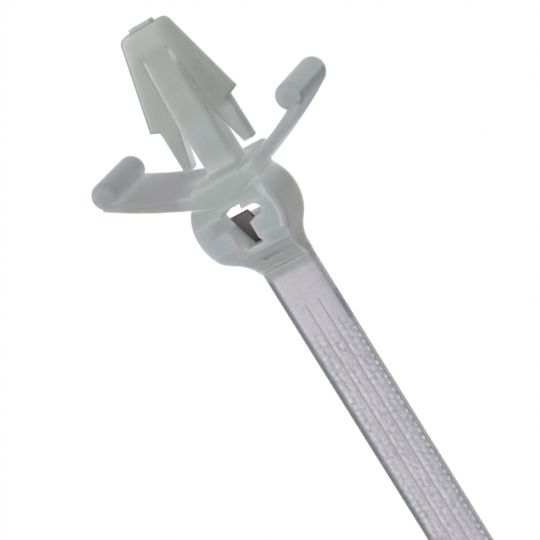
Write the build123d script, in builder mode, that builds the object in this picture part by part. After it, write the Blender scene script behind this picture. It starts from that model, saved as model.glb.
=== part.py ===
"""Push-mount cable tie: strap, locking head, bow wings and slotted arrow stud,
moulded as one nylon body, with a separate stainless steel locking barb.

Units are mm. X runs along the strap toward its tail, Y across the strap and Z
out of the front face of the head. The origin is on the stud axis, in the face
of the seat that meets the panel.
"""
import math
import os

from build123d import *

os.makedirs("parts", exist_ok=True)

# Strap
overall_length = 150.0
strap_width = 4.7
strap_thickness = 1.2
strap_edge_round = 0.2
tail_taper_length = 14.0
tail_tip_width = 2.4
tail_tip_round = 0.8
line_spacing = 1.3
line_offset = 0.2
line_width = 0.16
line_depth = 0.1
line_start_x = 13.1
line_end_to_tail = 20.0

# Head: a round drum whose top slopes and then drops to the strap
head_radius = 4.15
head_centre_x = 4.05
head_height = 5.05
brow_length = 3.1
brow_angle = 26.0
crown_inset = 2.45
slope_inset = 1.25
slope_drop = 1.0
ramp_overrun = 1.2
ramp_hollow = 0.15
head_strap_blend = 3.0
head_rim_round = 0.8

# Strap slot through the head, crossed by the channel that holds the barb
slot_arrow_wall_x = 3.04
slot_thickness_clearance = 0.1
slot_width_clearance = 0.4
slot_lead_in = 0.35
relief_depth = 0.4
barb_side_clearance = 0.2
barb_root_seat = 0.6
anchor_slit_width = 1.46
anchor_slit_height = 0.3
anchor_slit_depth = 0.7
anchor_slit_drop = 1.5

# Locking barb
barb_width = 1.6
barb_thickness = 0.35
barb_length = 4.17
barb_slope = 31.0
barb_tip_inset = 0.4
barb_tip_height = 3.03
barb_tip_bevel = 0.15

# Bow wings
wing_span = 20.8
wing_depth = 8.0
wing_bead_radius = 1.15
wing_bead_end_round = 0.6
wing_sweep = 2.95
wing_root_angle = 19.0
wing_tip_angle = 32.0
wing_thickness = 0.7
wing_root_inner_x = 1.2
wing_root_thickness = 1.3
seat_width = 4.8
seat_edge_chamfer = 0.25

# Arrow stud
stud_length = 13.1
column_width = 2.7
column_depth = 2.76
column_neck_width = 2.2
column_taper_x = -4.75
column_edge_round = 0.2
tip_wedge_length = 2.6
tip_wedge_root = 0.6
solid_tip_length = 2.4
leaf_depth = 1.26
leaf_edge_round = 0.2
tip_width = 4.3
tip_corner_radius = 0.75
shoulder_x = -5.25
shoulder_width = 8.44
shoulder_undercut = 0.34
shoulder_round = 0.25
leg_span = 6.84
leg_thickness = 0.76
leg_end_x = -1.05
leg_end_round = 0.35
slit_width = 0.26
slit_knee_width = 0.4
slit_knee_x = -4.35
tip_tab_width = 2.1
tip_tab_length = 0.3
root_fillet = 0.3

# Places worked out from the sizes above
strap_top_z = strap_thickness / 2
head_bottom_z = -strap_top_z
head_top_z = head_bottom_z + head_height
stud_tip_x = -stud_length
slit_start_x = stud_tip_x + solid_tip_length
strap_end_x = stud_tip_x - tip_tab_length + overall_length
slot_tail_wall_x = slot_arrow_wall_x + strap_thickness + slot_thickness_clearance
slot_length = strap_width + slot_width_clearance
channel_width = barb_width + 2 * barb_side_clearance
brow_end_x = head_centre_x - head_radius + brow_length
crown_end_x = head_centre_x + head_radius - crown_inset
slope_end_x = head_centre_x + head_radius - slope_inset
slope_end_z = head_top_z - slope_drop
ramp_end_x = head_centre_x + head_radius + ramp_overrun
ramp_run_per_drop = (ramp_end_x - slope_end_x) / (slope_end_z - strap_top_z)
anchor_slit_z = slope_end_z - anchor_slit_drop
anchor_slit_x = slope_end_x + ramp_run_per_drop * anchor_slit_drop - ramp_hollow


def direction(angle):
    """Unit vector that leans from +Y toward -X by the angle in degrees."""
    return Vector(-math.sin(math.radians(angle)), math.cos(math.radians(angle)))


# Bow wing, drawn for the +Y side: outer face, inner face and the bead at its tip
bead_centre = Vector(-wing_sweep, wing_span / 2 - wing_bead_radius)
tip_direction = direction(wing_tip_angle)
tip_outward = Vector(tip_direction.Y, -tip_direction.X)
outer_tip = bead_centre + tip_outward * wing_bead_radius
inner_tip = outer_tip - tip_outward * wing_thickness
wing_root_outer_x = wing_root_inner_x + wing_root_thickness

with BuildPart() as wing:
    with BuildSketch(Plane.XY.offset(-wing_depth / 2)) as wing_section:
        with BuildLine():
            outer_face = Spline(
                (wing_root_outer_x, 0), outer_tip,
                tangents=[direction(wing_root_angle), tip_direction],
            )
            Line(outer_face @ 1, inner_tip)
            inner_face = Spline(
                inner_tip, (wing_root_inner_x, 0),
                tangents=[-tip_direction, -direction(wing_root_angle)],
            )
            Line(inner_face @ 1, outer_face @ 0)
        make_face()
    extrude(amount=wing_depth)

with BuildPart() as bead:
    with Locations(bead_centre):
        Cylinder(wing_bead_radius, wing_depth)
    fillet(bead.edges().filter_by(GeomType.CIRCLE), radius=wing_bead_end_round)

# Head, cut to its side profile
head_front_x = wing_root_inner_x
brow_foot_z = head_top_z - (brow_end_x - head_front_x) * math.tan(math.radians(brow_angle))
web_top_z = min(brow_foot_z, wing_depth / 2) - root_fillet
with BuildPart() as head:
    with BuildSketch(Plane.XY.offset(head_bottom_z)) as head_plan:
        with Locations((head_centre_x, 0)):
            Circle(head_radius)
            Rectangle(
                ramp_end_x - head_centre_x, strap_width, align=(Align.MIN, Align.CENTER)
            )
        blend_corners = head_plan.vertices().group_by(Axis.X)[-2]
        fillet(blend_corners, radius=head_strap_blend)
    extrude(amount=head_height)
    fillet(head.faces().sort_by(Axis.Z)[-1].edges(), radius=head_rim_round)
    with BuildSketch(Plane.XZ):
        with BuildLine():
            Polyline(
                (head_front_x, head_bottom_z),
                (head_front_x, brow_foot_z),
                (brow_end_x, head_top_z),
                (crown_end_x, head_top_z),
                (slope_end_x, slope_end_z),
            )
            SagittaArc(
                (slope_end_x, slope_end_z), (ramp_end_x, strap_top_z), -ramp_hollow
            )
            Polyline(
                (ramp_end_x, strap_top_z),
                (ramp_end_x, head_bottom_z),
                (head_front_x, head_bottom_z),
            )
        make_face()
    extrude(amount=2 * head_radius, both=True, mode=Mode.INTERSECT)

# Small webs that round the notches between the drum and the wings
with BuildPart() as notch_webs:
    with BuildSketch(Plane.XY.offset(head_bottom_z)) as web_plan:
        with Locations((head_centre_x, 0)):
            Circle(head_radius)
        add(wing_section.sketch_local)
        mirror(about=Plane.XZ)
        notches = web_plan.vertices().filter_by(
            lambda point: wing_root_inner_x < point.X < head_centre_x
            and abs(point.Y) > seat_width / 2
        )
        fillet(notches, radius=root_fillet)
        with Locations((head_front_x, 0)):
            Rectangle(
                head_radius / 2, 2 * head_radius,
                align=(Align.MIN, Align.CENTER), mode=Mode.INTERSECT,
            )
    extrude(amount=web_top_z - head_bottom_z)

# Strap with eased edges and a tapered tail
with BuildPart() as strap:
    with BuildSketch(Plane.YZ.offset(head_centre_x)):
        RectangleRounded(strap_width, strap_thickness, strap_edge_round)
    extrude(amount=strap_end_x - head_centre_x)
    with BuildSketch(Plane.XY) as strap_plan:
        with BuildLine():
            Polyline(
                (head_centre_x, 0),
                (head_centre_x, strap_width / 2),
                (strap_end_x - tail_taper_length, strap_width / 2),
                (strap_end_x, tail_tip_width / 2),
                (strap_end_x, 0),
            )
            mirror(about=Plane.XZ)
        make_face()
        fillet(strap_plan.vertices().group_by(Axis.X)[-1], radius=tail_tip_round)
    extrude(amount=strap_thickness, both=True, mode=Mode.INTERSECT)

# Stud: a central column whose wedge end rises out of the flat tip
wedge_rise = (column_depth - leaf_depth) / 2 / tip_wedge_length
wedge_root_x = slit_start_x - tip_wedge_root
with BuildPart() as column:
    with BuildSketch(Plane.XY):
        with BuildLine():
            Polyline(
                (wing_root_outer_x, 0),
                (wing_root_outer_x, column_width / 2),
                (column_taper_x, column_width / 2),
                (slit_start_x, column_neck_width / 2),
                (wedge_root_x, column_neck_width / 2),
                (wedge_root_x, 0),
            )
            mirror(about=Plane.XZ)
        make_face()
    extrude(amount=column_depth / 2, both=True)
    with BuildSketch(Plane.XZ):
        with BuildLine():
            Polyline(
                (wing_root_outer_x, 0),
                (wing_root_outer_x, column_depth / 2),
                (slit_start_x + tip_wedge_length, column_depth / 2),
                (wedge_root_x, leaf_depth / 2 - wedge_rise * tip_wedge_root),
                (wedge_root_x, 0),
            )
            mirror(about=Plane.XZ)
        make_face()
    extrude(amount=column_width, both=True, mode=Mode.INTERSECT)
    fillet(column.edges().filter_by(Axis.X), radius=column_edge_round)

# Two spring leaves that leave the column at the tip and step in to straight legs
slit_start_y = column_neck_width / 2 + slit_width
slit_knee_y = column_width / 2 + slit_knee_width
with BuildPart() as leaves:
    with BuildSketch(Plane.XY) as leaf_plan:
        with BuildLine():
            Polyline(
                (stud_tip_x, 0),
                (stud_tip_x, tip_width / 2),
                (shoulder_x, shoulder_width / 2),
                (shoulder_x + shoulder_undercut, leg_span / 2),
                (leg_end_x, leg_span / 2),
                (leg_end_x, leg_span / 2 - leg_thickness),
                (slit_knee_x, slit_knee_y),
                (slit_start_x, slit_start_y),
                (slit_start_x, 0),
                close=True,
            )
        make_face()
        tip_corner, shoulder_corner = leaf_plan.vertices().filter_by(
            lambda point: point.Y > leg_span / 2 + 0.1 or
            (point.Y > 0 and point.X < stud_tip_x + 0.1)
        ).sort_by(Axis.X)
        leg_corner = leaf_plan.vertices().sort_by(Axis.X)[-2:].sort_by(Axis.Y)[-1]
        fillet(tip_corner, radius=tip_corner_radius)
        fillet(shoulder_corner, radius=shoulder_round)
        fillet(leg_corner, radius=leg_end_round)
        mirror(about=Plane.XZ)
    extrude(amount=leaf_depth / 2, both=True)
    outer_edges = leaves.edges().filter_by(
        lambda edge: abs(edge.center().Z) > leaf_depth / 4
        and abs(edge.center().Y) > leg_span / 2 - leg_thickness
    )
    fillet(outer_edges, radius=leaf_edge_round)
    with BuildSketch(Plane.XY):
        with Locations((stud_tip_x, 0)):
            Rectangle(2 * tip_tab_length, tip_tab_width)
    extrude(amount=leaf_depth / 2 - leaf_edge_round, both=True)

# Seat pad in the middle of the wings' panel side
with BuildPart() as seat:
    Box(
        wing_root_inner_x, seat_width, wing_depth,
        align=(Align.MIN, Align.CENTER, Align.CENTER),
    )
    chamfer(seat.faces().sort_by(Axis.X)[0].edges(), length=seat_edge_chamfer)

# Barb line in the side view: its tip stands in the slot and its root lies deeper
barb_tip = Vector(slot_arrow_wall_x + barb_tip_inset, 0, barb_tip_height)
barb_plane = Plane(
    origin=barb_tip,
    x_dir=(math.cos(math.radians(barb_slope)), 0, -math.sin(math.radians(barb_slope))),
    z_dir=(math.sin(math.radians(barb_slope)), 0, math.cos(math.radians(barb_slope))),
)
channel_end = barb_tip + barb_plane.x_dir * (barb_length - barb_root_seat)

with BuildPart() as tie_body:
    add(wing.part)
    add(bead.part)
    mirror(about=Plane.XZ)
    add(head.part)
    add(notch_webs.part)
    add(strap.part)
    add(column.part)
    add(leaves.part)
    add(seat.part)

    # Strap slot, its relief on the arrow side and the lead-in at the back
    with BuildSketch(Plane.XY.offset(head_bottom_z)):
        with Locations(((slot_arrow_wall_x + slot_tail_wall_x) / 2, 0)):
            SlotOverall(slot_length, slot_tail_wall_x - slot_arrow_wall_x, rotation=90)
        with Locations((slot_arrow_wall_x, 0)):
            Rectangle(2 * relief_depth, channel_width)
    extrude(amount=head_height, mode=Mode.SUBTRACT)
    with BuildSketch(Plane.XY.offset(head_bottom_z)):
        with Locations(((slot_arrow_wall_x + slot_tail_wall_x) / 2, 0)):
            SlotOverall(
                slot_length + 2 * slot_lead_in,
                slot_tail_wall_x - slot_arrow_wall_x + 2 * slot_lead_in,
                rotation=90,
            )
    extrude(amount=slot_lead_in, taper=45, mode=Mode.SUBTRACT)

    # Channel over the barb, open to the front, with a closed pocket round the barb's root
    with BuildSketch(barb_plane):
        Rectangle(barb_length, barb_width, align=(Align.MIN, Align.CENTER))
    extrude(amount=barb_thickness, mode=Mode.SUBTRACT)
    with BuildSketch(Plane.XZ):
        with BuildLine():
            Polyline(
                (barb_tip.X, barb_tip.Z),
                (channel_end.X, channel_end.Z),
                (channel_end.X, head_top_z),
                (barb_tip.X, head_top_z),
                close=True,
            )
        make_face()
    extrude(amount=channel_width / 2, both=True, mode=Mode.SUBTRACT)

    # Short slit in the ramp behind the barb's root
    with BuildSketch(Plane.XZ):
        with Locations((anchor_slit_x, anchor_slit_z)):
            Rectangle(2 * anchor_slit_depth, anchor_slit_height)
    extrude(amount=anchor_slit_width / 2, both=True, mode=Mode.SUBTRACT)

    # Two fine lines along the strap's front face
    line_length = strap_end_x - line_end_to_tail - line_start_x
    with BuildSketch(Plane.XY.offset(strap_top_z)):
        with Locations((line_start_x + line_length / 2, line_offset)):
            with GridLocations(0, line_spacing, 1, 2):
                Rectangle(line_length, line_width)
    extrude(amount=-line_depth, mode=Mode.SUBTRACT)

tie_body.part.label = "tie_body"
export_step(tie_body.part, "parts/tie_body.step")

with BuildPart() as locking_barb:
    with BuildSketch(barb_plane):
        Rectangle(barb_length, barb_width, align=(Align.MIN, Align.CENTER))
    extrude(amount=barb_thickness)
    tip_edge = locking_barb.edges().filter_by(Axis.Y).group_by(Axis.X)[0].sort_by(Axis.Z)[0]
    chamfer(tip_edge, length=barb_tip_bevel)

locking_barb.part.label = "locking_barb"
export_step(locking_barb.part, "parts/locking_barb.step")
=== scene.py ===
import math

import bpy
import numpy as np
from mathutils import Matrix, Vector


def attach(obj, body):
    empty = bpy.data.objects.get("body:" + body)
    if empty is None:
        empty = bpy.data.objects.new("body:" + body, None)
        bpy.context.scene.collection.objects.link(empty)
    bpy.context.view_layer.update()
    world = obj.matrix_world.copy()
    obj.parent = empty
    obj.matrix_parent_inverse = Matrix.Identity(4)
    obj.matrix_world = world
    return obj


mm = 0.001

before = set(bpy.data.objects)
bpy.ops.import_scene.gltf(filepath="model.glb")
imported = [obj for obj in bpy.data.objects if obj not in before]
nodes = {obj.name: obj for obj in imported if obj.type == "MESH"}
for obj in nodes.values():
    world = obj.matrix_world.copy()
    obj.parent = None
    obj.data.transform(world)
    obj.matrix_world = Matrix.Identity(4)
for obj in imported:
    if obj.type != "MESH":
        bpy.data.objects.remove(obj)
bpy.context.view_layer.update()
print("frame loaded")


# Colour and node helpers

# An sRGB hex colour as the linear values that Blender's sockets take
def linear(hexCode):
    parts = [int(hexCode[i:i + 2], 16) / 255 for i in (0, 2, 4)]
    return [p / 12.92 if p <= 0.04045 else ((p + 0.055) / 1.055) ** 2.4 for p in parts] + [1.0]


# Adds one node, sets its own settings, and fills its sockets with values or links. A socket is given by its
# name, with _ for a space, or by the letter i and its number
def addNode(tree, kind, settings=None, **sockets):
    node = tree.nodes.new(kind)
    for name, value in (settings or {}).items():
        setattr(node, name, value)
    for name, value in sockets.items():
        key = int(name[1:]) if name[0] == "i" and name[1:].isdigit() else name.replace("_", " ")
        socket = node.inputs[key]
        if isinstance(value, bpy.types.NodeSocket):
            tree.links.new(value, socket)
        else:
            socket.default_value = value
    return node


# A share that runs from 0 where the value is at start to 1 where it is at end
def fade(tree, value, start, end, curve="LINEAR"):
    return addNode(tree, "ShaderNodeMapRange", {"interpolation_type": curve}, Value=value, From_Min=start,
                   From_Max=end).outputs[0]


# Joins shares one after another: MULTIPLY where all of them have to hold, MAXIMUM where one is enough
def joined(tree, operation, *shares):
    total = shares[0]
    for share in shares[1:]:
        total = addNode(tree, "ShaderNodeMath", {"operation": operation}, i0=total, i1=share).outputs[0]
    return total


# Lays one colour over another, as far as all of the shares hold
def layOver(tree, color, top, *shares):
    share = joined(tree, "MULTIPLY", *shares)
    return addNode(tree, "ShaderNodeMix", {"data_type": "RGBA"}, i0=share, i6=color, i7=top).outputs[2]


# The share of a soft-edged box. Its limits are from and to in x, in y and in z, in mm, with None for open,
# and those at the end can be left out
def boxShare(tree, axes, limits, soft):
    shares = []
    for axis, low, high in zip(axes, limits[::2], limits[1::2]):
        if low is not None:
            shares.append(fade(tree, axis, (low - soft / 2) * mm, (low + soft / 2) * mm, "SMOOTHSTEP"))
        if high is not None:
            shares.append(fade(tree, axis, (high + soft / 2) * mm, (high - soft / 2) * mm, "SMOOTHSTEP"))
    return joined(tree, "MULTIPLY", *shares)


def newMaterial(name):
    material = bpy.data.materials.new(name)
    material.use_nodes = True
    tree = material.node_tree
    tree.nodes.clear()
    return material, tree


# Moulded natural nylon: milky and slightly translucent, satin. Its colour carries painted light and shade:
# paler where it is thin, where light comes through, and darker on walls, sides and edges where shade falls

nylon = {
    "baseColor": "A6ACAA",
    # A patch is a colour, its limits in mm as boxShare takes them, and the width of its soft border. Several
    # paint in shade and light for one lighting: those on the stud's +Y side, on the wings and on the beads,
    # at the ramp's foot and on its slit are painted shade, and the pale line at the ramp's foot is painted
    # light. The others make parts of the head, stud, column and ramp a little lighter or darker
    "patches": {
        "headLeft": ("A2A9AC", (3.4, None, None, -1.6), 1.6),
        "headRight": ("A2A9AC", (3.4, None, 1.9, None), 1.6),
        "stud": ("A6AAA6", (None, -2.8), 6.5),
        "studSideShade": ("919590", (None, -3.0, 1.8, None), 1.8),
        "wingLeftShade": ("909095", (-3.9, 2.9, None, -3.4), 2.2),
        "wingRightShade": ("989A9E", (-3.9, 2.2, 4.0, None), 1.6),
        "legRight": ("ABAEAC", (-4.4, -0.9, 2.3, 3.9), 0.8),
        "beadLeftShade": ("959999", (None, -1.4, None, -8.0), 0.6),
        "beadRightShade": ("9AA0A2", (None, -1.4, 8.0, None), 0.6),
        "tip": ("AEB1AD", (-13.0, -11.2, -2.6, 1.2), 1.2),
        "columnTop": ("A1A5A1", (-10.8, -7.6, -1.3, 1.3), 1.2),
        "columnFoot": ("ADB3B2", (-4.6, -0.9, -1.3, 1.3), 1.4),
        "ramp": ("A3A6A5", (7.4, None), 1.8),
        "rampTop": ("B3B7B7", (6.9, 7.7, -3.4, 3.4, 1.0, None), 0.5),
        "rampFoot": ("9A9D9D", (9.3, None, None, None, 0.3, None), 0.2),
        "footLineLight": ("AFB2B1", (9.0, 9.5, -2.5, 2.5, 0.45, None), 0.3),
        "rampSlitShade": ("868888", (8.02, 8.15, -0.74, 0.74, 0.7, None), 0.1),
    },
    # Where the other shades show: limits and soft border. In leavesOff and wingsOff, y is the distance to
    # either side of the middle line
    "areas": {
        "headWalls": ((2.9, None), 1.6),
        "headRear": ((5.5, None), 3.0),
        "leafWalls": ((None, -0.85), 0.3),
        "leavesOff": ((None, None, 1.65, None), 0.5),
        "tipEnd": ((None, -12.7), 0.4),
        "betweenWings": ((None, None, -4.5, 4.5), 0.2),
        "rimLight": ((2.0, 7.2, 1.0, None), 1.2),
        "wingBand": ((None, None, 6.6, None), 2.4),
        "wingsOff": ((None, None, 4.1, None), 1.8),
        "wingEdges": ((-1.9, 2.8, -8.2, 8.2), 0.8),
        "wingEdgeRight": ((None, None, 0.0, None), 2.0),
        "leafLine": ((None, -4.6, None, -1.5), 0.4),
        "strap": ((10.175, None), 0.75),
        "strapSideDark": ((13.2, 15.9), 1.0),
        "hollows": ((-10.7, 7.3, -4.6, 4.6), 1.0),
        "farSlit": ((-9.4, -1.2, 0.6, None), 0.6),
        "beadCrease": ((-4.5, 2.0, -9.6, -6.0), 1.0),
        "channelCrease": ((4.3, 7.0, -1.3, 1.3), 0.4),
        "rampFoot": ((8.5, 10.0, -2.2, 2.2), 0.3),
    },
    # Which faces they show on, by one part of the normal: where the shade starts and where it is full
    "facing": {
        "sideways": (0.85, 0.3),
        "towardStud": (0.5, 0.1),
        "awayFromStud": (-0.1, 0.2),
        "back": (0.2, -0.2),
        "front": (0.5, 0.9),
        "rimStart": (0.99, 0.95),
        "rimEnd": (0.8, 0.9),
        "leafLine": (-0.03, -0.35),
    },
    # A place across the strap and the colour there. The dark stops at both edges, darkest at -Y, and the
    # darker grey toward +Y are painted shade
    "stripes": {
        -2.35: "66666F",
        -1.98: "77777F",
        -1.72: "C0C2C8",
        -1.2: "BEBBC1",
        1.2: "BAB8BE",
        2.0: "B0AFB6",
        2.35: "A5A4AC",
    },
    # Painted shade on the strap's sides, darker where the pebbles start
    "strapSideShade": "93959A",
    "strapSideDark": "73757F",
    # Painted shade on the outer walls of the head and leaves
    "sideShade": "939491",
    "sideRearShade": "858583",
    "backSideShade": "7E8288",
    "leafWallShare": 0.4,
    # Painted shade: a thin dark line along the -Y leaf's outer edge
    "leafLineShade": "55585A",
    "leafLineShare": 0.75,
    # Painted highlight along the head's rim
    "rimHighlight": "B6BCBD",
    "rimCentreX": 4.05,
    "rimRadii": (3.3, 3.5),
    # Painted shade: the dark band where the +Y wing carries its bead
    "bandShade": "5A5E68",
    "bandShare": 0.8,
    "wingEdgeLeft": "8F8F8C",
    "wingEdgeRight": "949899",
    "cloudSize": 2.6,
    "cloudDepth": 0.03,
    "mottleSize": 0.35,
    "mottleDepth": 0.025,
    "cloudRange": (0.3, 0.7),
    "cloudDetail": 2.0,
    "grainSize": 0.09,  # a few times the real grain, which would be too fine to show
    "grainHeight": 0.004,
    "grainDetail": 3.0,
    "roughness": 0.42,
    "ior": 1.53,
    "subsurface": 1.0,
    "depth": 2.2,
    "hollowColor": "EBEDED",
    "hollowReach": 2.6,
    "hollowOpenness": (0.84, 0.28),
    "farSlitCut": 0.3,
    "creaseOpenness": (0.95, 0.3),
    "creaseShare": 0.72,
    "opennessSamples": 8,
    "roundRadius": 0.55,
    "edgeRadius": 0.14,
    "edgeTurn": 0.72,
    "edgeColor": "5E5F66",
    "edgeShade": 0.3,
    "roundSamples": 6,
    "relief": False,
    # Painted shade in the textured sheet's valleys and painted highlight on its pebbles' tops
    "valleyShadeColor": "55565E",
    "topHighlight": "F4F3F6",
}


# The share of faces that look sideways, whichever way, by how far their normal leans from Z
def sidewaysShare(tree, normal, values):
    upright = addNode(tree, "ShaderNodeMath", {"operation": "ABSOLUTE"}, i0=normal[2]).outputs[0]
    return fade(tree, upright, *values["facing"]["sideways"], "SMOOTHSTEP")


# The strap has stripes of grey along its front, with painted shade along both edges, and painted shade on its
# sides, darkest just before the pebbles start
def strapColor(tree, axes, normal, values):
    stripes = values["stripes"]
    places = sorted(stripes)
    width = places[-1] - places[0]
    ramp = addNode(tree, "ShaderNodeValToRGB", Fac=fade(tree, axes[1], places[0] * mm, places[-1] * mm))
    stops = ramp.color_ramp.elements
    for place in places[1:-1]:
        stops.new((place - places[0]) / width)
    for stop, place in zip(stops, places):
        stop.position = (place - places[0]) / width
        stop.color = linear(stripes[place])
    side = layOver(tree, linear(values["strapSideShade"]), linear(values["strapSideDark"]),
                   boxShare(tree, axes, *values["areas"]["strapSideDark"]))
    return layOver(tree, ramp.outputs[0], side, sidewaysShare(tree, normal, values))


# The patches lie one over another. Those of the wings are painted shade and show only on faces that look to
# the stud
def patchColor(tree, axes, normal, values):
    towardStud = fade(tree, normal[0], *values["facing"]["towardStud"])
    color = linear(values["baseColor"])
    for name, (top, limits, soft) in values["patches"].items():
        shares = [boxShare(tree, axes, limits, soft)]
        if name.startswith("wing"):
            shares.append(towardStud)
        color = layOver(tree, color, linear(top), *shares)
    return color


# Painted shade: the outer walls of the head and of the stud's leaves are darker than their front faces, more
# so toward the head's rear and on walls facing -Y
def wallShade(tree, color, axes, halves, normal, values):
    areas = values["areas"]
    leaves = joined(tree, "MULTIPLY", boxShare(tree, halves, *areas["leavesOff"]),
                    boxShare(tree, axes, *areas["leafWalls"]), values["leafWallShare"])
    walls = joined(tree, "MAXIMUM", boxShare(tree, axes, *areas["headWalls"]), leaves,
                   boxShare(tree, axes, *areas["tipEnd"]))
    side = layOver(tree, linear(values["sideShade"]), linear(values["sideRearShade"]),
                   boxShare(tree, axes, *areas["headRear"]))
    back = fade(tree, normal[1], *values["facing"]["back"])
    side = layOver(tree, side, linear(values["backSideShade"]), back)
    return layOver(tree, color, side, walls, boxShare(tree, axes, *areas["betweenWings"]),
                   sidewaysShare(tree, normal, values))


# A painted highlight: a pale arc runs along the rounded rim of the head, where its face starts to turn away
def rimHighlight(tree, color, axes, normal, values):
    flatPlace = addNode(tree, "ShaderNodeCombineXYZ", X=axes[0], Y=axes[1]).outputs[0]
    fromCentre = addNode(tree, "ShaderNodeVectorMath", {"operation": "DISTANCE"}, i0=flatPlace,
                         i1=(values["rimCentreX"] * mm, 0, 0)).outputs["Value"]
    inner, outer = values["rimRadii"]
    return layOver(tree, color, linear(values["rimHighlight"]),
                   fade(tree, normal[2], *values["facing"]["rimStart"]),
                   fade(tree, normal[2], *values["facing"]["rimEnd"]),
                   fade(tree, fromCentre, inner * mm, outer * mm, "SMOOTHSTEP"),
                   boxShare(tree, axes, *values["areas"]["rimLight"]))


# Painted shade in a dark band on the outer side of the +Y wing, where it carries its bead, and a grey of
# their own on the wings' front edges
def wingColor(tree, color, axes, halves, normal, values):
    areas = values["areas"]
    facing = values["facing"]
    color = layOver(tree, color, linear(values["bandShade"]), sidewaysShare(tree, normal, values),
                    fade(tree, normal[0], *facing["awayFromStud"]), boxShare(tree, axes, *areas["wingBand"]),
                    values["bandShare"])
    edge = layOver(tree, linear(values["wingEdgeLeft"]), linear(values["wingEdgeRight"]),
                   boxShare(tree, axes, *areas["wingEdgeRight"]))
    return layOver(tree, color, edge, boxShare(tree, halves, *areas["wingsOff"]),
                   fade(tree, normal[2], *facing["front"]), boxShare(tree, axes, *areas["wingEdges"]))


# Faint clouds in the milky plastic, and finer ones in the textured strap
def cloudColor(tree, color, place, values):
    low, high = values["cloudRange"]
    for kind in ("cloud", "mottle"):
        depth = values[kind + "Depth"]
        cloud = addNode(tree, "ShaderNodeTexNoise", Vector=place, Scale=1 / (values[kind + "Size"] * mm),
                        Detail=values["cloudDetail"])
        bright = addNode(tree, "ShaderNodeMapRange", Value=cloud.outputs[0], From_Min=low, From_Max=high,
                         To_Min=1 - depth, To_Max=1 + depth).outputs[0]
        grey = addNode(tree, "ShaderNodeCombineColor", Red=bright, Green=bright, Blue=bright).outputs[0]
        color = addNode(tree, "ShaderNodeMix", {"data_type": "RGBA", "blend_type": "MULTIPLY"}, i0=1.0,
                        i6=color, i7=grey).outputs[2]
    return color


# Painted shade and highlights stored on the textured sheet: below 0, painted shade in the valleys beside the
# pebbles; above 0, painted highlights on bright tops
def reliefShade(tree, color, values):
    shade = addNode(tree, "ShaderNodeAttribute", {"attribute_name": "relief"}).outputs["Fac"]
    color = layOver(tree, color, linear(values["valleyShadeColor"]), fade(tree, shade, 0.0, -1.0))
    return layOver(tree, color, linear(values["topHighlight"]), fade(tree, shade, 0.0, 1.0))


# Hollows look paler than a solid colour would, because light comes in through their thin milky walls
def hollowColor(tree, color, axes, values):
    areas = values["areas"]
    openness = addNode(tree, "ShaderNodeAmbientOcclusion", {"samples": values["opennessSamples"]},
                       Distance=values["hollowReach"] * mm).outputs["AO"]
    farSlit = joined(tree, "MULTIPLY", boxShare(tree, axes, *areas["farSlit"]), values["farSlitCut"])
    hollow = joined(tree, "MULTIPLY", fade(tree, openness, *values["hollowOpenness"]),
                    boxShare(tree, axes, *areas["hollows"]), fade(tree, farSlit, 1.0, 0.0))
    creases = joined(tree, "MAXIMUM", boxShare(tree, axes, *areas["beadCrease"]),
                     boxShare(tree, axes, *areas["channelCrease"]))
    crease = joined(tree, "MULTIPLY", fade(tree, openness, *values["creaseOpenness"]),
                    values["creaseShare"], creases)
    return layOver(tree, color, linear(values["hollowColor"]), joined(tree, "MAXIMUM", hollow, crease))


# Edges look darker than faces, because the light leaves a thin corner sideways, but not the foot of the ramp
def edgeColor(tree, color, axes, values):
    turned = addNode(tree, "ShaderNodeBevel", {"samples": values["roundSamples"]},
                     Radius=values["edgeRadius"] * mm).outputs[0]
    flat = addNode(tree, "ShaderNodeNewGeometry").outputs["Normal"]
    straight = addNode(tree, "ShaderNodeVectorMath", {"operation": "DOT_PRODUCT"}, i0=turned, i1=flat)
    offFoot = fade(tree, boxShare(tree, axes, *values["areas"]["rampFoot"]), 1.0, 0.0)
    edge = fade(tree, straight.outputs["Value"], 1.0, values["edgeTurn"])
    return layOver(tree, color, linear(values["edgeColor"]), edge, offFoot, values["edgeShade"])


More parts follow.
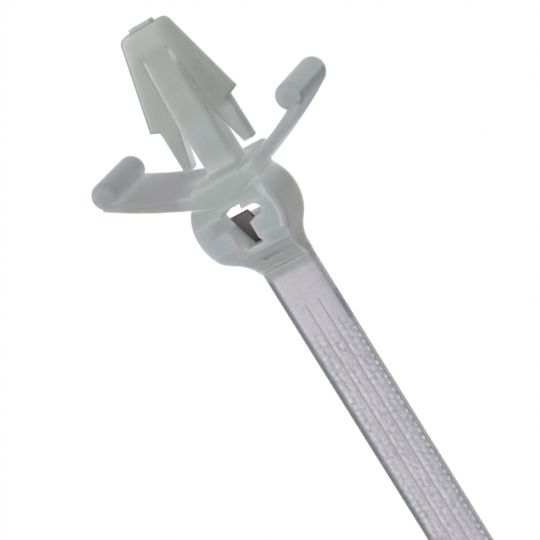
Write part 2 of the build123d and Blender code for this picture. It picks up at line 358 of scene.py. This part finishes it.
def nylonMaterial(name, values):
    material, tree = newMaterial(name)
    coordinates = addNode(tree, "ShaderNodeTexCoord").outputs
    place = coordinates["Object"]
    axes = addNode(tree, "ShaderNodeSeparateXYZ", Vector=place).outputs
    offMiddle = addNode(tree, "ShaderNodeMath", {"operation": "ABSOLUTE"}, i0=axes[1]).outputs[0]
    halves = (axes[0], offMiddle, axes[2])  # the same place on either side of the middle line
    normal = addNode(tree, "ShaderNodeSeparateXYZ", Vector=coordinates["Normal"]).outputs

    color = patchColor(tree, axes, normal, values)
    color = wallShade(tree, color, axes, halves, normal, values)
    color = rimHighlight(tree, color, axes, normal, values)
    color = wingColor(tree, color, axes, halves, normal, values)
    # Painted shade: the rounded outer edge of the -Y leaf is a thin dark line
    color = layOver(tree, color, linear(values["leafLineShade"]),
                    fade(tree, normal[1], *values["facing"]["leafLine"]),
                    boxShare(tree, axes, *values["areas"]["leafLine"]), values["leafLineShare"])
    color = layOver(tree, color, strapColor(tree, axes, normal, values),
                    boxShare(tree, axes, *values["areas"]["strap"]))
    color = cloudColor(tree, color, place, values)

    # Fine satin grain of the mould. Corners are rounded in the shading, but the textured sheet has none
    grain = addNode(tree, "ShaderNodeTexNoise", Vector=place, Scale=1 / (values["grainSize"] * mm),
                    Detail=values["grainDetail"])
    bump = addNode(tree, "ShaderNodeBump", Strength=1.0, Distance=values["grainHeight"] * mm,
                   Height=grain.outputs[0])
    if values["relief"]:
        color = reliefShade(tree, color, values)
    else:
        color = hollowColor(tree, color, axes, values)
        color = edgeColor(tree, color, axes, values)
        rounded = addNode(tree, "ShaderNodeBevel", {"samples": values["roundSamples"]},
                          Radius=values["roundRadius"] * mm)
        tree.links.new(rounded.outputs[0], bump.inputs["Normal"])
    shader = addNode(tree, "ShaderNodeBsdfPrincipled", Base_Color=color, Roughness=values["roughness"],
                     IOR=values["ior"], Subsurface_Weight=values["subsurface"],
                     Subsurface_Radius=(1.0, 1.0, 1.0), Subsurface_Scale=values["depth"] * mm,
                     Normal=bump.outputs[0])
    addNode(tree, "ShaderNodeOutputMaterial", Surface=shader.outputs[0])
    return material


# Stamped spring steel of the locking barb: dark grey with fine lines along the blade

steel = {
    "color": "8A8386",
    "darkColor": "645D60",
    "roughness": 0.42,
    "lineSpacing": 0.05,
    "lineStretch": 0.12,
    "lineDetail": 2.0,
    "lineHeight": 0.003,
    "edgeRadius": 0.05,
    "roundSamples": 4,
}


def steelMaterial(name, values):
    material, tree = newMaterial(name)
    place = addNode(tree, "ShaderNodeTexCoord").outputs["Object"]
    stretch = values["lineStretch"]
    stretched = addNode(tree, "ShaderNodeMapping", Vector=place, Scale=(stretch, 1.0, stretch)).outputs[0]
    lines = addNode(tree, "ShaderNodeTexNoise", Vector=stretched, Scale=1 / (values["lineSpacing"] * mm),
                    Detail=values["lineDetail"]).outputs[0]
    color = layOver(tree, linear(values["darkColor"]), linear(values["color"]), lines)
    rounded = addNode(tree, "ShaderNodeBevel", {"samples": values["roundSamples"]},
                      Radius=values["edgeRadius"] * mm).outputs[0]
    bump = addNode(tree, "ShaderNodeBump", Strength=1.0, Distance=values["lineHeight"] * mm, Height=lines,
                   Normal=rounded)
    shader = addNode(tree, "ShaderNodeBsdfPrincipled", Base_Color=color, Roughness=values["roughness"],
                     Metallic=1.0, Normal=bump.outputs[0])
    addNode(tree, "ShaderNodeOutputMaterial", Surface=shader.outputs[0])
    return material


nodes["tie_body"].material_slots[0].material = nylonMaterial("natural_nylon", nylon)
nodes["locking_barb"].material_slots[0].material = steelMaterial("stamped_spring_steel", steel)
print("materials made")


# Raised pebbles on the front face of the strap

pebbles = {
    "startX": 9.3,
    "endX": 117.0,
    "lineStartX": 13.1,
    "pebbleStartX": 15.9,
    "pebbleBlend": 1.2,
    "ragged": (0.4, 5),  # how unevenly the pebbles start across the strap, and how fast that changes
    "faceZ": 0.6,
    "halfWidth": 2.35,
    "edgeRound": 0.2,
    "reach": (-2.13, 2.42),
    "pitch": 0.68,
    # A row is its distance from the strap's middle line, measured over the rounded edge, the half length and
    # half width of its pebbles, their height, the shift along the strap as a share of the pitch, how bright
    # the painted highlight on their tops is and how irregular the row is
    "rows": (
        (2.31, 0.24, 0.15, 0.05, 0.0, 0.55, 0.35),
        (1.76, 0.34, 0.26, 0.045, 0.5, 0.08, 0.5),
        (1.20, 0.38, 0.24, 0.025, 0.0, 0.05, 0.7),
        (0.36, 0.40, 0.28, 0.02, 0.5, 0.05, 0.9),
        (-0.10, 0.42, 0.26, 0.015, 0.1, 0.05, 1.0),
        (-0.98, 0.40, 0.26, 0.025, 0.3, 0.06, 0.8),
        (-1.56, 0.32, 0.20, 0.035, 0.8, 0.16, 0.6),
    ),
    "perRow": 400,  # sizes drawn for each row, more than it has pebbles
    "crown": 0.7,
    "sizeSpread": (-0.7, 0.25),
    "drift": 0.35,
    "clear": 0.006,
    "waves": ((0.9, 3, 0), (1.37, -5, 1)),  # length along the strap, slant across it and shift
    "waveShade": 0.06,
    "lumpHeight": 0.012,
    "arcShade": 0.32,
    "arcWidth": 0.4,
    "valleyShade": 0.13,
    "speckleRise": 0.006,
    "speckleShade": 0.32,
    "lines": (-0.45, 0.85),
    "lineHalf": 0.09,
    "lineClear": 0.18,  # the pebbles fade out this near to a line
    "lineDepth": 0.05,
    "lineShade": 0.42,
    "lineFade": 0.2,
    "lipPlace": 0.24,
    "lipWidth": 0.13,
    "lipHeight": 0.015,
    "lipShade": 0.22,
    "lipPlain": 0.3,  # what is left of the lip where there are no pebbles
    "endFade": 0.1,
    "endDip": 0.012,
    "stepX": 0.085,
    "stepS": 0.075,
    "seed": 7,
}


# Pebbles in rows: each is 1 - (distance / size) squared, raised to the crown's power and scaled by a random
# size, with a painted highlight on its top, painted shade in a dark arc along one side of its rim, and
# painted shade that darkens the valleys between them
def pebbleRows(x, s, values, rng):
    rise = np.zeros(x.shape)
    shade = np.zeros(x.shape)
    cover = np.zeros(x.shape)
    smallest, largest = values["sizeSpread"]
    pitch = values["pitch"]
    for rowS, halfLength, halfRow, height, shift, bright, uneven in values["rows"]:
        sizes = 1 + uneven * rng.uniform(smallest, largest, values["perRow"])
        drift = uneven * rng.uniform(-values["drift"], values["drift"], (2, values["perRow"]))
        column = np.round((x - values["startX"]) / pitch - shift)
        index = column.astype(int) % values["perRow"]
        alongX = x - values["startX"] - (column + shift + drift[0, index]) * pitch
        acrossS = s - rowS - drift[1, index] * halfRow
        distance = np.hypot(alongX / halfLength, acrossS / halfRow)
        dome = np.clip(1 - distance ** 2, 0, 1) ** values["crown"]
        rise = np.maximum(rise, dome * height * sizes[index])
        arc = np.clip(1 - np.abs(distance - 1) / values["arcWidth"], 0, 1)
        arc = arc * np.clip(-acrossS / halfRow, 0, 1)
        shade = shade + dome * bright * sizes[index] - arc * values["arcShade"] * sizes[index] ** 2
        cover = np.maximum(cover, dome)
    return rise, shade - values["valleyShade"] * (1 - cover)


# Random specks, each averaged with its neighbours both ways and then scaled so that the largest is 1
def speckles(shape, rng):
    specks = rng.uniform(-1, 1, shape)
    for axis in (0, 1):
        specks = (np.roll(specks, 1, axis) + specks + np.roll(specks, -1, axis)) / 3
    return specks / np.abs(specks).max()


# Height over the strap's face, and the shade stored with it, which holds painted shade, painted highlights
# and random specks: the pebbles, low lumps from the product of two slanting sine waves, and specks, all of
# which fade out at both ends. A low lip with a painted highlight runs beside each of the two fine lines,
# which are V grooves darkened with painted shade, and the sheet dips under the face at its two ends
def pebbleHeight(x, s, values):
    rng = np.random.default_rng(values["seed"])
    rise, shade = pebbleRows(x, s, values, rng)
    specks = speckles(x.shape, rng)
    waves = np.ones(x.shape)
    for length, slant, shift in values["waves"]:
        waves = waves * np.sin(2 * math.pi * x / length + slant * s + shift)
    inside = np.minimum(x - values["pebbleStartX"], values["endX"] - values["pebbleBlend"] - x)
    ragged, raggedRate = values["ragged"]
    blend = np.clip(inside / values["pebbleBlend"] + 0.5 + ragged * np.sin(raggedRate * s), 0, 1)
    rise = rise + values["lumpHeight"] * np.clip(waves, 0, 1) + values["speckleRise"] * np.clip(specks, 0, 1)
    rise = rise * blend
    shade = (shade + values["waveShade"] * waves + values["speckleShade"] * specks) * blend
    lined = np.clip((x - values["lineStartX"]) / values["lineFade"], 0, 1)
    for lineY in values["lines"]:
        lip = np.clip(1 - ((s - lineY - values["lipPlace"]) / values["lipWidth"]) ** 2, 0, 1) * lined
        lip = lip * (values["lipPlain"] + (1 - values["lipPlain"]) * blend)
        groove = np.clip(1 - np.abs(s - lineY) / values["lineHalf"], 0, 1) * lined
        apart = np.clip(np.abs(s - lineY) / values["lineClear"], 0, 1)
        rise = rise * apart + values["lipHeight"] * lip - values["lineDepth"] * groove
        shade = shade * apart + values["lipShade"] * lip - values["lineShade"] * groove
    ends = np.clip(np.minimum(x - values["startX"], values["endX"] - x) / values["endFade"], 0, 1)
    return (rise + values["clear"]) * ends - values["endDip"] * (1 - ends), shade


# A mesh over a grid of points, in mm, with a quad between each four neighbours
def gridObject(name, points, columns, rows, material):
    mesh = bpy.data.meshes.new(name)
    index = np.arange(columns * rows).reshape(columns, rows)
    quads = np.stack([index[:-1, :-1], index[1:, :-1], index[1:, 1:], index[:-1, 1:]], -1).reshape(-1, 4)
    mesh.from_pydata((points * mm).tolist(), [], quads.tolist())
    mesh.polygons.foreach_set("use_smooth", np.ones(len(quads), dtype=bool))
    mesh.materials.append(material)
    thing = bpy.data.objects.new(name, mesh)
    bpy.context.scene.collection.objects.link(thing)
    return thing


# The textured front of the strap is glossier than the rest and has no depth of its own, being a thin sheet
texturedNylon = {**nylon, "subsurface": 0.0, "roughness": 0.3, "relief": True, "strapSideShade": "A3A3AA",
                 "mottleDepth": 0.06}

# The sheet follows the flat face and then the rounded edge: past the flat, the angle is the length over the
# radius. Its grid has five extra rows of points along each fine line
xs = np.arange(pebbles["startX"], pebbles["endX"], pebbles["stepX"])
ss = np.arange(*pebbles["reach"], pebbles["stepS"])
offsets = np.array((-1, -0.5, 0, 0.5, 1)) * pebbles["lineHalf"]
nearLines = [lineY + offsets for lineY in pebbles["lines"]]
ss = np.unique(np.round(np.append(ss, nearLines), 4))
gridX, gridS = np.meshgrid(xs, ss, indexing="ij")
flatHalf = pebbles["halfWidth"] - pebbles["edgeRound"]
angle = np.clip(np.abs(gridS) - flatHalf, 0, None) / pebbles["edgeRound"]
rise, shade = pebbleHeight(gridX, gridS, pebbles)
radius = pebbles["edgeRound"] + rise
gridY = np.where(angle > 0, np.sign(gridS) * (flatHalf + radius * np.sin(angle)), gridS)
gridZ = pebbles["faceZ"] - pebbles["edgeRound"] + radius * np.cos(angle)
points = np.stack([gridX, gridY, gridZ], -1).reshape(-1, 3)
strapPebbles = gridObject("strap_pebbles", points, len(xs), len(ss),
                          nylonMaterial("natural_nylon_textured", texturedNylon))
strapPebbles.data.attributes.new("relief", "FLOAT", "POINT").data.foreach_set("value", shade.ravel())
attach(strapPebbles, "root")
print("strap pebbles made", len(points))


# Floor, soft studio light and camera

studio = {
    "floorZ": -60.0,
    "floorSize": 3000.0,
    "floorGlow": 0.9,  # how far the floor shows pure white to the camera
    "white": "FFFFFF",
    "worldStrength": 0.8,
    "keyPower": 0.6,
    "keyPlace": (-120.0, -260.0, 420.0),
    "keySize": 260.0,
    "fillPower": 0.08,
    "fillPlace": (260.0, 300.0, 300.0),
    "fillSize": 300.0,
}

white = linear(studio["white"])
floorMesh = bpy.data.meshes.new("floor")
half = studio["floorSize"] * mm / 2
corners = [(-half, -half, 0), (half, -half, 0), (half, half, 0), (-half, half, 0)]
floorMesh.from_pydata(corners, [], [(0, 1, 2, 3)])
floorMesh.transform(Matrix.Translation((0, 0, studio["floorZ"] * mm)))
floor = bpy.data.objects.new("floor", floorMesh)
bpy.context.scene.collection.objects.link(floor)
floorMaterial, floorTree = newMaterial("white_floor")
diffuse = addNode(floorTree, "ShaderNodeBsdfDiffuse", Color=white).outputs[0]
glow = addNode(floorTree, "ShaderNodeEmission", Color=white, Strength=1.0).outputs[0]
seenByCamera = addNode(floorTree, "ShaderNodeLightPath").outputs["Is Camera Ray"]
glowShare = joined(floorTree, "MULTIPLY", seenByCamera, studio["floorGlow"])
floorShader = addNode(floorTree, "ShaderNodeMixShader", i0=glowShare, i1=diffuse, i2=glow).outputs[0]
addNode(floorTree, "ShaderNodeOutputMaterial", Surface=floorShader)
floorMesh.materials.append(floorMaterial)

world = bpy.data.worlds.new("studio")
bpy.context.scene.world = world
world.use_nodes = True
worldTree = world.node_tree
worldTree.nodes.clear()
path = addNode(worldTree, "ShaderNodeLightPath").outputs
seen = joined(worldTree, "MAXIMUM", path["Is Camera Ray"], path["Is Glossy Ray"], path["Is Transmission Ray"])
strength = addNode(worldTree, "ShaderNodeMapRange", Value=seen, To_Min=studio["worldStrength"], To_Max=1.0)
background = addNode(worldTree, "ShaderNodeBackground", Color=white, Strength=strength.outputs[0])
addNode(worldTree, "ShaderNodeOutputWorld", Surface=background.outputs[0])


def softLamp(name, power, place, size):
    lamp = bpy.data.lights.new(name, "AREA")
    lamp.energy = power
    lamp.size = size * mm
    thing = bpy.data.objects.new(name, lamp)
    thing.location = Vector(place) * mm
    thing.rotation_euler = Vector(place).to_track_quat("Z", "Y").to_euler()
    bpy.context.scene.collection.objects.link(thing)


softLamp("key", studio["keyPower"], studio["keyPlace"], studio["keySize"])
softLamp("fill", studio["fillPower"], studio["fillPlace"], studio["fillSize"])

# The camera stands in front of the head, rolled so that the strap runs down to the right. Its lens gives
# pixelsPerMm at the distance of the origin, which falls on originPixel of a 540 x 540 frame
view = {
    "azimuth": 112.302,
    "elevation": 63.293,
    "roll": -142.061,
    "distance": 240.0,
    "pixelsPerMm": 12.314,
    "originPixel": (227.328, 164.234),
    "frame": 540,
    "sensor": 36.0,
    "clipStart": 10.0,
}

azimuth, elevation, roll = (math.radians(view[k]) for k in ("azimuth", "elevation", "roll"))
flatReach = math.cos(elevation)
toCamera = Vector((flatReach * math.cos(azimuth), flatReach * math.sin(azimuth), math.sin(elevation)))
right = Vector((0, 0, 1)).cross(toCamera).normalized()
up = toCamera.cross(right)
cameraX = math.cos(roll) * right + math.sin(roll) * up
cameraY = -math.sin(roll) * right + math.cos(roll) * up
offX = (view["originPixel"][0] - view["frame"] / 2) / view["pixelsPerMm"]
offY = -(view["originPixel"][1] - view["frame"] / 2) / view["pixelsPerMm"]
eye = (-offX * cameraX - offY * cameraY + view["distance"] * toCamera) * mm
cameraData = bpy.data.cameras.new("camera")
cameraData.sensor_width = view["sensor"]
cameraData.lens = view["pixelsPerMm"] * view["distance"] / view["frame"] * view["sensor"]
cameraData.clip_start = view["clipStart"] * mm
camera = bpy.data.objects.new("camera", cameraData)
turn = Matrix((cameraX, cameraY, toCamera)).transposed().to_4x4()
camera.matrix_world = Matrix.Translation(eye) @ turn
bpy.context.scene.collection.objects.link(camera)
bpy.context.scene.camera = camera
bpy.context.scene.view_settings.view_transform = "Standard"
print("studio and camera made")
